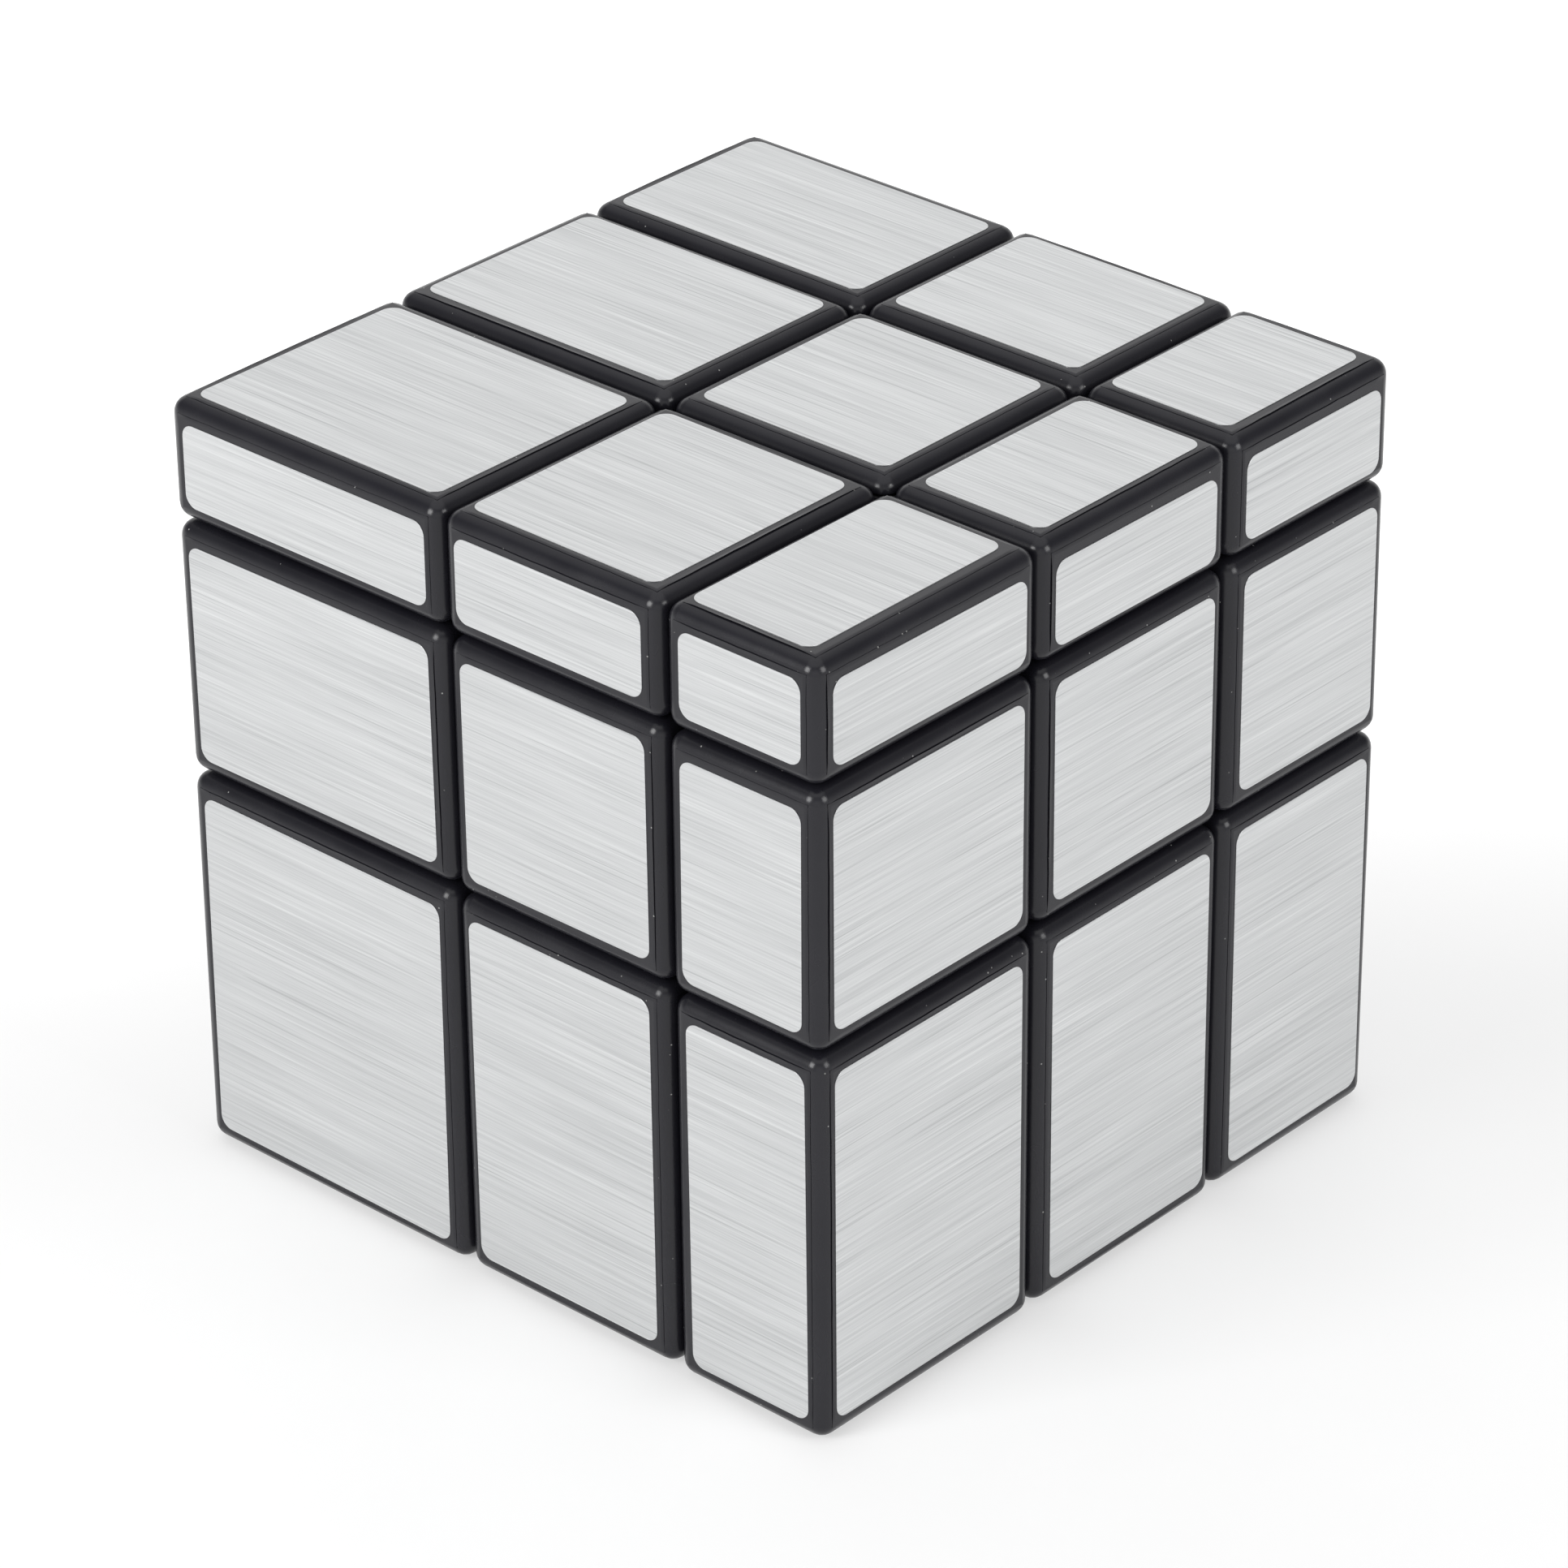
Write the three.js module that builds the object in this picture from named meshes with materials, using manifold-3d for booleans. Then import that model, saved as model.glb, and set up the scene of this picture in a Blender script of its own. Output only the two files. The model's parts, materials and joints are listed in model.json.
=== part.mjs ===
// Twisty puzzle cube with layers of unequal thickness. Every length is in millimetres and +Z is up.
//
// A core with six arms carries six centres, and each centre turns about its arm. Twelve edges and
// eight corners hang between the centres: each has a foot that hooks behind its neighbours. All
// the gaps between turning layers lie on surfaces of revolution about the six arms, so any face can
// turn. The layers differ in thickness only outside that mechanism, so the core sits off-centre.
//
// Everything is modelled from the core's centre outwards. The exported group moves the core to its
// place, so that the cube rests on z = 0 with its vertical middle line on the Z axis.

import * as THREE from 'three';
import { ConvexGeometry } from 'three/addons/geometries/ConvexGeometry.js';
import { mergeVertices } from 'three/addons/utils/BufferGeometryUtils.js';
import Module from 'manifold-3d';

// ---- Driving dimensions ----

const CUBE_SIZE = 57;
const MIDDLE_LAYER = 19;
const FACES = {
  front: { layer: 21, towards: new THREE.Vector3(0, -1, 0) },
  back: { layer: 17, towards: new THREE.Vector3(0, 1, 0) },
  left: { layer: 25, towards: new THREE.Vector3(-1, 0, 0) },
  right: { layer: 13, towards: new THREE.Vector3(1, 0, 0) },
  top: { layer: 9, towards: new THREE.Vector3(0, 0, 1) },
  bottom: { layer: 29, towards: new THREE.Vector3(0, 0, -1) },
};

const TURN_GAP = 0.3; // between two layers that turn against each other
const SEAT_GAP = 0.2; // between two pieces that sit in or on each other
const CHAMFER = 0.8; // on the outer edges of every block

// The cut between a layer and the rest: a flat plane outside CUT_RIM, a cone inside it, and a
// deeper flat floor within CUT_THROAT. The feet lie in that deeper pocket.
const CUT_PLANE = MIDDLE_LAYER / 2;
const CUT_FLOOR = 6;
const CUT_RIM = 16.2;
const CUT_THROAT = 14.5;
const HEART_RADIUS = 11.4; // the round hollow at the core, which the feet slide over
const CUT_SEGMENTS = 32;

const HUB_RADIUS = 7;
const ARM_RADIUS = 3.5;
const ARM_END = 10;
const SCREW_HOLE_RADIUS = 1.65;
const SCREW_HOLE_FLOOR = 3.8;

const STEM_FLOOR = 1.5;
const STEM_START = ARM_END + TURN_GAP;
const WELL_START = STEM_START + STEM_FLOOR;
const WELL_RADIUS = 4.6;
const FLANGE_TOP = 17.15;
const CAP_START = FLANGE_TOP + SEAT_GAP;
const CAP_WALL = 1.4;
const CAP_COLLAR_START = 15.6;
const CAP_COLLAR_OUTER = WELL_RADIUS - SEAT_GAP;
const CAP_COLLAR_INNER = 3.6;

const SPRING_START = WELL_START + SEAT_GAP;
const SPRING_HEIGHT = 3;
const SPRING_RADIUS = 2.5;
const SPRING_WIRE_RADIUS = 0.3;
const SPRING_TURNS = 3;
const SPRING_STEPS_PER_TURN = 10;
const SPRING_SECTION_STEPS = 3;
const WASHER_START = SPRING_START + SPRING_HEIGHT + SEAT_GAP;
const WASHER_THICKNESS = 0.5;
const WASHER_RADIUS = 3.2;
const SCREW_HEAD_START = WASHER_START + WASHER_THICKNESS + SEAT_GAP;
const SCREW_HEAD_HEIGHT = 1.2;
const SCREW_HEAD_SIDE = 0.8; // the height of its upright rim, below the sloping crown
const SCREW_HEAD_RADIUS = 2.7;
const SCREW_CROWN_RADIUS = 1.9;
const SCREW_RADIUS = 1.45;
const SCREW_TIP = 4.6;
const SCREW_TIP_TAPER = 1;
const CROSS_SLOT_LENGTH = 3;
const CROSS_SLOT_WIDTH = 0.7;
const CROSS_SLOT_DEPTH = 0.7;

const EDGE_WALL = 1.3;
const EDGE_FOOT_REACH = 15;
const EDGE_HOLLOW_START = 12.2;
const EDGE_PORT_WIDTH = 6;
const EDGE_PORT_HEIGHT = 3;
const EDGE_PORT_OVERRUN = 1; // past the floor of the hollow
const CORNER_WALL = 1.4;
const CORNER_STALK_REACH = 15;

const WELL_SEGMENTS = 20;
const SMALL_SEGMENTS = 16;
const FAR = 90; // further out than any piece reaches

// ---- Materials ----

const blackPlastic = new THREE.MeshStandardMaterial({ color: 0x2a2b2d, roughness: 0.42, metalness: 0 });
const corePlastic = new THREE.MeshStandardMaterial({ color: 0xd9d8d2, roughness: 0.5, metalness: 0 });
const screwSteel = new THREE.MeshStandardMaterial({ color: 0xa9abae, roughness: 0.3, metalness: 1 });
const springSteel = new THREE.MeshStandardMaterial({ color: 0x8e9094, roughness: 0.28, metalness: 1 });

// ---- Solids ----

const wasm = await Module();
wasm.setup();

// Turns a closed geometry into a solid. Triangles that shrank to a line at a pole are dropped.
function toSolid(geometry) {
  const bare = geometry.clone();
  bare.deleteAttribute('normal');
  bare.deleteAttribute('uv');
  const merged = mergeVertices(bare);
  const corners = merged.index.array;
  const kept = [];
  for (let i = 0; i < corners.length; i += 3) {
    const [a, b, c] = corners.slice(i, i + 3);
    if (a !== b && b !== c && c !== a) kept.push(a, b, c);
  }
  const mesh = new wasm.Mesh({
    numProp: 3,
    vertProperties: new Float32Array(merged.attributes.position.array),
    triVerts: new Uint32Array(kept),
  });
  return new wasm.Manifold(mesh);
}

function toGeometry(solid) {
  const mesh = solid.getMesh();
  const geometry = new THREE.BufferGeometry();
  geometry.setAttribute('position', new THREE.BufferAttribute(mesh.vertProperties, 3));
  geometry.setIndex(new THREE.BufferAttribute(mesh.triVerts, 1));
  geometry.computeVertexNormals();
  return geometry;
}

function box(low, high) {
  const geometry = new THREE.BoxGeometry(high[0] - low[0], high[1] - low[1], high[2] - low[2]);
  geometry.translate((low[0] + high[0]) / 2, (low[1] + high[1]) / 2, (low[2] + high[2]) / 2);
  return geometry;
}

// A box whose twelve edges are all chamfered.
function chamferedBox(low, high) {
  const points = [];
  for (let corner = 0; corner < 8; corner += 1) {
    const upper = [0, 1, 2].map((axis) => Math.floor(corner / 2 ** axis) % 2 === 1);
    for (let kept = 0; kept < 3; kept += 1) {
      const at = [0, 1, 2].map((axis) => {
        const inset = axis === kept ? 0 : CHAMFER;
        return upper[axis] ? high[axis] - inset : low[axis] + inset;
      });
      points.push(new THREE.Vector3(...at));
    }
  }
  return new ConvexGeometry(points);
}

// A closed body of revolution about +Z. The profile is a list of [radius, height] pairs that runs
// up the outside, from the axis back to the axis, or round a ring.
function turned(profile, segments) {
  const points = profile.map(([radius, height]) => new THREE.Vector2(radius, height));
  const geometry = new THREE.LatheGeometry(points, segments);
  geometry.rotateX(Math.PI / 2);
  return geometry;
}

const UP = new THREE.Vector3(0, 0, 1);

function turnTo(geometry, direction) {
  return geometry.applyQuaternion(new THREE.Quaternion().setFromUnitVectors(UP, direction));
}

// ---- The cuts between layers ----

// All the space on the outer side of one layer's cut, moved outwards by shift.
function layerSpace(direction, shift) {
  const space = turned([
    [0, CUT_FLOOR + shift],
    [CUT_THROAT - shift, CUT_FLOOR + shift],
    [CUT_RIM - shift, CUT_PLANE + shift],
    [FAR, CUT_PLANE + shift],
    [FAR, FAR],
    [0, FAR],
  ], CUT_SEGMENTS);
  return toSolid(turnTo(space, direction));
}

// Pieces are modelled facing +X, +Y and +Z, and turned to their places afterwards.
const AXES = [new THREE.Vector3(1, 0, 0), new THREE.Vector3(0, 1, 0), new THREE.Vector3(0, 0, 1)];
const HALF_GAP = TURN_GAP / 2;
const inLayer = AXES.map((axis) => layerSpace(axis, HALF_GAP));
const besideLayer = AXES.map((axis) => [
  layerSpace(axis, -HALF_GAP),
  layerSpace(axis.clone().negate(), -HALF_GAP),
]);
const heart = toSolid(new THREE.SphereGeometry(HEART_RADIUS, CUT_SEGMENTS, CUT_SEGMENTS / 2));

// Keeps what lies in the layers listed and beside all the others. 0, 1 and 2 stand for X, Y and Z.
function cutToSlot(solid, layers) {
  let piece = solid;
  for (const axis of [0, 1, 2]) {
    if (layers.includes(axis)) {
      piece = piece.intersect(inLayer[axis]);
    } else {
      for (const neighbour of besideLayer[axis]) piece = piece.subtract(neighbour);
    }
  }
  return piece;
}

const BLOCK_START = CUT_PLANE + HALF_GAP; // of a block's sides that face another layer
const BLOCK_HALF = CUT_PLANE - HALF_GAP; // half a middle block's width

// ---- Core ----

function coreGeometry() {
  let core = toSolid(new THREE.SphereGeometry(HUB_RADIUS, SMALL_SEGMENTS, SMALL_SEGMENTS / 2));
  const arm = [[0, 0], [ARM_RADIUS, 0], [ARM_RADIUS, ARM_END], [0, ARM_END]];
  const hole = [
    [0, SCREW_HOLE_FLOOR],
    [SCREW_HOLE_RADIUS, SCREW_HOLE_FLOOR],
    [SCREW_HOLE_RADIUS, FAR],
    [0, FAR],
  ];
  for (const { towards } of Object.values(FACES)) {
    core = core.add(toSolid(turnTo(turned(arm, SMALL_SEGMENTS), towards)));
  }
  for (const { towards } of Object.values(FACES)) {
    core = core.subtract(toSolid(turnTo(turned(hole, SMALL_SEGMENTS), towards)));
  }
  return toGeometry(core);
}

// ---- Screw, washer and spring, along +Z ----

function screwGeometry() {
  const headTop = SCREW_HEAD_START + SCREW_HEAD_HEIGHT;
  const screw = turned([
    [0, SCREW_TIP],
    [SCREW_RADIUS - SCREW_TIP_TAPER / 2, SCREW_TIP],
    [SCREW_RADIUS, SCREW_TIP + SCREW_TIP_TAPER],
    [SCREW_RADIUS, SCREW_HEAD_START],
    [SCREW_HEAD_RADIUS, SCREW_HEAD_START],
    [SCREW_HEAD_RADIUS, SCREW_HEAD_START + SCREW_HEAD_SIDE],
    [SCREW_CROWN_RADIUS, headTop],
    [0, headTop],
  ], SMALL_SEGMENTS);
  const long = CROSS_SLOT_LENGTH / 2;
  const narrow = CROSS_SLOT_WIDTH / 2;
  const floor = headTop - CROSS_SLOT_DEPTH;
  const slotAlongX = toSolid(box([-long, -narrow, floor], [long, narrow, FAR]));
  const slotAlongY = toSolid(box([-narrow, -long, floor], [narrow, long, FAR]));
  return toGeometry(toSolid(screw).subtract(slotAlongX).subtract(slotAlongY));
}

function washerGeometry() {
  const top = WASHER_START + WASHER_THICKNESS;
  const inner = SCREW_RADIUS + SEAT_GAP;
  return turned([
    [inner, WASHER_START],
    [WASHER_RADIUS, WASHER_START],
    [WASHER_RADIUS, top],
    [inner, top],
    [inner, WASHER_START],
  ], SMALL_SEGMENTS);
}

class Helix extends THREE.Curve {
  getPoint(along, target = new THREE.Vector3()) {
    const angle = along * SPRING_TURNS * 2 * Math.PI;
    const rise = SPRING_HEIGHT - 2 * SPRING_WIRE_RADIUS;
    const height = SPRING_START + SPRING_WIRE_RADIUS + along * rise;
    return target.set(SPRING_RADIUS * Math.cos(angle), SPRING_RADIUS * Math.sin(angle), height);
  }
}

function springGeometry() {
  const section = new THREE.Shape();
  section.absarc(0, 0, SPRING_WIRE_RADIUS, 0, 2 * Math.PI);
  return new THREE.ExtrudeGeometry(section, {
    steps: SPRING_TURNS * SPRING_STEPS_PER_TURN,
    curveSegments: SPRING_SECTION_STEPS,
    bevelEnabled: false,
    extrudePath: new Helix(),
  });
}

// ---- Centres, facing +Z ----

function centreGeometry() {
  const block = toSolid(box([-BLOCK_HALF, -BLOCK_HALF, STEM_START], [BLOCK_HALF, BLOCK_HALF, FLANGE_TOP]));
  const well = [[0, WELL_START], [WELL_RADIUS, WELL_START], [WELL_RADIUS, FAR], [0, FAR]];
  const screwPassage = SCREW_RADIUS + SEAT_GAP;
  const passage = [[0, 0], [screwPassage, 0], [screwPassage, FAR], [0, FAR]];
  const centre = cutToSlot(block, [2])
    .subtract(toSolid(turned(well, WELL_SEGMENTS)))
    .subtract(toSolid(turned(passage, SMALL_SEGMENTS)));
  return toGeometry(centre);
}

// A cap closes the centre. Behind a thick layer it is a hollow block, open towards the core.
function capGeometry(reach) {
  let cap = toSolid(chamferedBox([-BLOCK_HALF, -BLOCK_HALF, CAP_START], [BLOCK_HALF, BLOCK_HALF, reach]));
  const innerHalf = BLOCK_HALF - CAP_WALL;
  const ceiling = reach - CAP_WALL;
  if (ceiling - CAP_START > CAP_WALL) {
    cap = cap.subtract(toSolid(box([-innerHalf, -innerHalf, 0], [innerHalf, innerHalf, ceiling])));
  }
  const collarTop = Math.max(ceiling, CAP_START) + CAP_WALL / 2;
  const collar = turned([
    [CAP_COLLAR_INNER, CAP_COLLAR_START],
    [CAP_COLLAR_OUTER, CAP_COLLAR_START],
    [CAP_COLLAR_OUTER, collarTop],
    [CAP_COLLAR_INNER, collarTop],
    [CAP_COLLAR_INNER, CAP_COLLAR_START],
  ], WELL_SEGMENTS);
  return toGeometry(cap.add(toSolid(collar)));
}

// ---- Edges, facing +X and +Z ----

// A hollow block with its foot. A port through the foot opens the hollow towards the core.
function edgeGeometry(reachX, reachZ) {
  const block = toSolid(chamferedBox(
    [BLOCK_START, -BLOCK_HALF, BLOCK_START],
    [reachX, BLOCK_HALF, reachZ],
  ));
  const footBlank = toSolid(box([0, -BLOCK_HALF, 0], [EDGE_FOOT_REACH, BLOCK_HALF, EDGE_FOOT_REACH]));
  const hollowHalf = BLOCK_HALF - EDGE_WALL;
  const hollow = toSolid(box(
    [EDGE_HOLLOW_START, -hollowHalf, EDGE_HOLLOW_START],
    [reachX - EDGE_WALL, hollowHalf, reachZ - EDGE_WALL],
  ));
  const portEnd = (EDGE_HOLLOW_START + EDGE_PORT_OVERRUN) * Math.SQRT2;
  const port = box(
    [-EDGE_PORT_HEIGHT / 2, -EDGE_PORT_WIDTH / 2, 0],
    [EDGE_PORT_HEIGHT / 2, EDGE_PORT_WIDTH / 2, portEnd],
  );
  port.rotateY(Math.PI / 4);
  const edge = cutToSlot(block.add(footBlank), [0, 2]).subtract(heart);
  return toGeometry(edge.subtract(hollow).subtract(toSolid(port)));
}

// ---- Corners, facing +X, +Y and +Z ----

// The foot has a square stalk that fills a notch in the shell's inner corner.
function cornerFootGeometry() {
  const reach = CORNER_STALK_REACH;
  const blank = toSolid(box([0, 0, 0], [reach, reach, reach]));
  return toGeometry(cutToSlot(blank, [0, 1, 2]).subtract(heart));
}

function cornerShellGeometry(reaches) {
  const start = [BLOCK_START, BLOCK_START, BLOCK_START];
  const shell = toSolid(chamferedBox(start, reaches));
  const hollow = toSolid(box(
    start.map((low) => low + CORNER_WALL),
    reaches.map((high) => high - CORNER_WALL),
  ));
  const notchEnd = CORNER_STALK_REACH + SEAT_GAP;
  const notch = toSolid(box([0, 0, 0], [notchEnd, notchEnd, notchEnd]));
  return toGeometry(shell.subtract(hollow).subtract(notch));
}

// ---- Assembly ----

const mechanism = new THREE.Group();

function place(name, geometry, material, quaternion) {
  const mesh = new THREE.Mesh(geometry, material);
  mesh.name = name;
  mesh.quaternion.copy(quaternion);
  mechanism.add(mesh);
}

// The turn that takes +X, +Y and +Z to three directions square to each other.
function turnToAxes(x, y, z) {
  return new THREE.Quaternion().setFromRotationMatrix(new THREE.Matrix4().makeBasis(x, y, z));
}

const faces = Object.entries(FACES).map(([name, { layer, towards }]) => ({
  name,
  towards,
  reach: CUT_PLANE + layer,
}));

place('core', coreGeometry(), corePlastic, new THREE.Quaternion());

for (const { name, towards, reach } of faces) {
  const outwards = new THREE.Quaternion().setFromUnitVectors(UP, towards);
  place(`spring_${name}`, springGeometry(), springSteel, outwards);
  place(`washer_${name}`, washerGeometry(), screwSteel, outwards);
  place(`screw_${name}`, screwGeometry(), screwSteel, outwards);
  place(`centre_${name}`, centreGeometry(), blackPlastic, outwards);
  place(`cap_${name}`, capGeometry(reach), blackPlastic, outwards);
}

for (const a of faces) {
  for (const b of faces.slice(faces.indexOf(a) + 1)) {
    if (a.towards.dot(b.towards) === 0) {
      const along = b.towards.clone().cross(a.towards);
      const turn = turnToAxes(a.towards, along, b.towards);
      place(`edge_${a.name}_${b.name}`, edgeGeometry(a.reach, b.reach), blackPlastic, turn);
    }
  }
}

const [front, back, left, right, top, bottom] = faces;
for (const a of [front, back]) {
  for (const b of [left, right]) {
    for (const c of [top, bottom]) {
      const inOrder = a.towards.clone().cross(b.towards).equals(c.towards);
      const [x, y] = inOrder ? [a, b] : [b, a];
      const turn = turnToAxes(x.towards, y.towards, c.towards);
      const name = `${a.name}_${b.name}_${c.name}`;
      const shell = cornerShellGeometry([x.reach, y.reach, c.reach]);
      place(`corner_shell_${name}`, shell, blackPlastic, turn);
      place(`corner_foot_${name}`, cornerFootGeometry(), blackPlastic, turn);
    }
  }
}

mechanism.position.set(
  CUBE_SIZE / 2 - right.reach,
  CUBE_SIZE / 2 - back.reach,
  bottom.reach,
);

const cube = new THREE.Group();
cube.add(mechanism);

export default cube;
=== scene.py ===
"""The looks of the twisty puzzle cube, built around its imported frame.

Every piece is modelled outwards from the centre of the core, in metres, and then moved to it. The
blocks are moulded black plastic with rounded edges. Each outer face carries a sticker: a black film
with sharp corners, and on it a brushed silver foil with rounded ones.
"""
import json
import math
import random

import bmesh
import bpy
from mathutils import Matrix, Vector

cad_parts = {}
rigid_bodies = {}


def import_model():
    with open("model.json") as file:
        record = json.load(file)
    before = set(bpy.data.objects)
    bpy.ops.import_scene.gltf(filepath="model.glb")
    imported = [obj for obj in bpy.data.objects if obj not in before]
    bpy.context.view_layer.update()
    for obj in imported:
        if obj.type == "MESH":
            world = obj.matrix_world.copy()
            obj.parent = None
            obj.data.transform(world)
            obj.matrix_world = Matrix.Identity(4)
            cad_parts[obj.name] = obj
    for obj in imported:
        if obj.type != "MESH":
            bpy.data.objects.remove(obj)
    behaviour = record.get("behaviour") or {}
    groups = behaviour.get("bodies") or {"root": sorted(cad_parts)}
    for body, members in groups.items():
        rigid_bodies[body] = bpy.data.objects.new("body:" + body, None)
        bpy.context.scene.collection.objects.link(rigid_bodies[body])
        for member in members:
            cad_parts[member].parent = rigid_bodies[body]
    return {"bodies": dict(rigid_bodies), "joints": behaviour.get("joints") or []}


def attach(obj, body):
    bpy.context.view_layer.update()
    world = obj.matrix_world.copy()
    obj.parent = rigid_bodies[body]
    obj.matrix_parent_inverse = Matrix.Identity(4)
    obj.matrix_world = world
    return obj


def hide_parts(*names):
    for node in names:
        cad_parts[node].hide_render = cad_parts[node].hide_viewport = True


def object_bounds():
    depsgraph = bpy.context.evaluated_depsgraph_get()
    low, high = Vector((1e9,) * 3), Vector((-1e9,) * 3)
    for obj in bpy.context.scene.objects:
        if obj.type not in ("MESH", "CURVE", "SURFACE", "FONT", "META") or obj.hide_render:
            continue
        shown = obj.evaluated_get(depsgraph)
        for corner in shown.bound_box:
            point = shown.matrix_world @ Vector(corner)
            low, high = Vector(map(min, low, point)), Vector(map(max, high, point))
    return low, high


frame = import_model()
CAD_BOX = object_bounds()

MM = 0.001

# ---- The camera, which looks at a point near the middle of the cube ----

CAMERA_AIM = Vector((0.483, -0.79, 26.88)) * MM
CAMERA_DISTANCE = 439.43 * MM
CAMERA_AZIMUTH = 42.309
CAMERA_ELEVATION = 29.312
CAMERA_ROLL = -0.611
CAMERA_SENSOR = 36  # the sensor's width, in mm
CAMERA_LENS = 150.05  # in mm
CAMERA_NEAREST = 10 * MM

# ---- Floor and light ----

FLOOR_RADIUS = 3
FLOOR_SEGMENTS = 96
FLOOR_GREYS = ((0.39, 0.39, 0.39), (0.41, 0.41, 0.41))
FLOOR_CLOUD = (60, 60, 60)  # waves for each metre
FLOOR_ROUGHNESS = 0.9
FLOOR_GLOW = 0.51
FLOOR_GLOW_BEHIND = 0.85
FLOOR_BEHIND = (-0.75, 0.66, 0)  # the direction in which the floor glows more
FLOOR_RISE = 80 * MM  # how far from the middle the glow behind is reached

SOFTBOX_DISTANCE = 0.45
SOFTBOX_SIZE = 0.2
SOFTBOXES = {  # degrees from the front towards the right, degrees up, and watts
    "softbox_left": (-12, 27, 1.2),
    "softbox_right": (96, 27, 0.72),
}

# Each pale part of the room starts and is full at these cosines or heights of a direction.
WALL_DIRECTION = (-0.67, 0.74, 0)
BACK_WALL = (0.45, 0.8)
FRONT_WALL = (-0.7, -0.95)
CEILING = (0.66, 0.86)
SKIRTING = (0.36, 0.0)
SKIRTING_PALENESS = 0.75
ROOM_DIM = 0.2
ROOM_PALE = 1.08

# ---- The mechanism, as in the CAD part ----

CUT_PLANE = 9.5 * MM
CUT_FLOOR = 6.0 * MM
CUT_RIM = 16.2 * MM
CUT_THROAT = 14.5 * MM
HEART_RADIUS = 11.4 * MM  # of the ball of space round the core
HALF_GAP = 0.15 * MM
BLOCK_START = CUT_PLANE + HALF_GAP
BLOCK_HALF = CUT_PLANE - HALF_GAP
FAR = 90 * MM  # further out than any piece reaches

STEM_START = 10.3 * MM
WELL_START = 11.8 * MM
WELL_RADIUS = 4.6 * MM
FLANGE_TOP = 17.15 * MM
CAP_START = 17.35 * MM
CAP_WALL = 1.4 * MM
COLLAR_START = 15.6 * MM
COLLAR_OUTER = 4.4 * MM
COLLAR_INNER = 3.6 * MM
EDGE_WALL = 1.3 * MM
EDGE_FOOT_REACH = 15 * MM
EDGE_HOLLOW_START = 12.2 * MM
EDGE_PORT_WIDTH = 6.0 * MM
EDGE_PORT_HEIGHT = 3.0 * MM
EDGE_PORT_OVERRUN = 1 * MM  # past the floor of the hollow
CORNER_WALL = 1.4 * MM
STALK_REACH = 15 * MM
SEAT_GAP = 0.2 * MM

HUB_RADIUS = 7 * MM
ARM_RADIUS = 3.5 * MM
ARM_END = 10 * MM
ARM_FILLET = 1.6 * MM
ARM_FILLET_ANGLE = 82  # degrees of the fillet that show
ARM_FILLET_DEPTH = 0.9 * MM  # of its start, below the hub's surface
LIP = 0.25 * MM  # of the arms, and of the centres' wells
COLLAR_LIP = 0.15 * MM
SCREW_HOLE_RADIUS = 1.65 * MM
SCREW_HOLE_FLOOR = 3.8 * MM
SCREW_RADIUS = 1.45 * MM
SCREW_TIP = 4.6 * MM
SCREW_TIP_LENGTH = 0.9 * MM
SCREW_TIP_FLAT = 0.5  # the share of the screw's radius
SCREW_HEAD_START = 16.1 * MM
SCREW_HEAD_HEIGHT = 1.2 * MM
SCREW_HEAD_RADIUS = 2.7 * MM
SCREW_HEAD_RIM = 0.15 * MM
SCREW_DOME = 0.75 * MM
SCREW_DOME_ANGLES = (8, 86)
THREAD_PITCH = 0.9 * MM
THREAD_DEPTH = 0.3 * MM
THREAD_HALF_WIDTH = 0.36  # of the groove, as a share of the pitch
THREAD_END = 11.4 * MM
THREAD_RUN_OUT = 0.8 * MM
SPRING_START = 12.0 * MM
SPRING_HEIGHT = 3.0 * MM
SPRING_RADIUS = 2.5 * MM
SPRING_WIRE = 0.3 * MM
SPRING_TURNS = 3
SPRING_CLOSING = 0.22  # how much closer together the end coils lie
WASHER_START = 15.2 * MM
WASHER_THICKNESS = 0.5 * MM
WASHER_RADIUS = 3.2 * MM
WASHER_EDGE = 0.12 * MM

CUT_SEGMENTS = 96  # round the cuts between layers
TURNED_SEGMENTS = 64  # round the core, arms, wells, collars and washers
HOLE_SEGMENTS = 40
SCREW_SEGMENTS = 48
HEART_STEPS = 48  # from pole to pole
HUB_STEPS = 40
FILLET_STEPS = 8
LIP_STEPS = 4
SHANK_STEPS = 84
DOME_STEPS = 10
SPRING_STEPS_PER_TURN = 36
SPRING_SIDES = 12

# ---- The blocks' outsides ----

EDGE_ROUND = 1.15 * MM
ROUND_STEPS = 6
INNER_ROUND = 0.3 * MM
FILM_INSET = 0.9 * MM  # from the side of the block
FILM_THICKNESS = 0.05 * MM
FILM_PRESSED = 0.03 * MM  # how thick its pressed-down edge stands
FILM_RISE = 0.06 * MM  # how far a loose edge rises
FILM_UNDERCUT = 0.08 * MM  # how far the edge hangs over
FILM_STEP = 1.1 * MM  # between the points of the film's cut edge
FILM_RAGGED = 0.02 * MM  # how far the cut edge strays
FILM_BEND_STEPS = 3  # rings over which the film follows the block's rounding
FILM_LIFTED = 0.3  # the share of the film's sides that have come loose
FILM_LOOSENESS = (0.5, 0.9)  # of those, with 1 for a side that doesn't bend down at all
FOIL_INSET = 1.35 * MM
FOIL_THICKNESS = 0.05 * MM
FOIL_CORNER = 0.95 * MM
FOIL_CORNER_STEPS = 10
FOIL_EDGE = 0.015 * MM  # the foil's tiny chamfer
FOIL_SINK = 0.01 * MM  # how far the foil's top stays inside the CAD part
SKIN = FILM_THICKNESS + FOIL_THICKNESS + FOIL_SINK
FOIL_SHIFT = 0.12 * MM  # the foils aren't placed exactly
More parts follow.
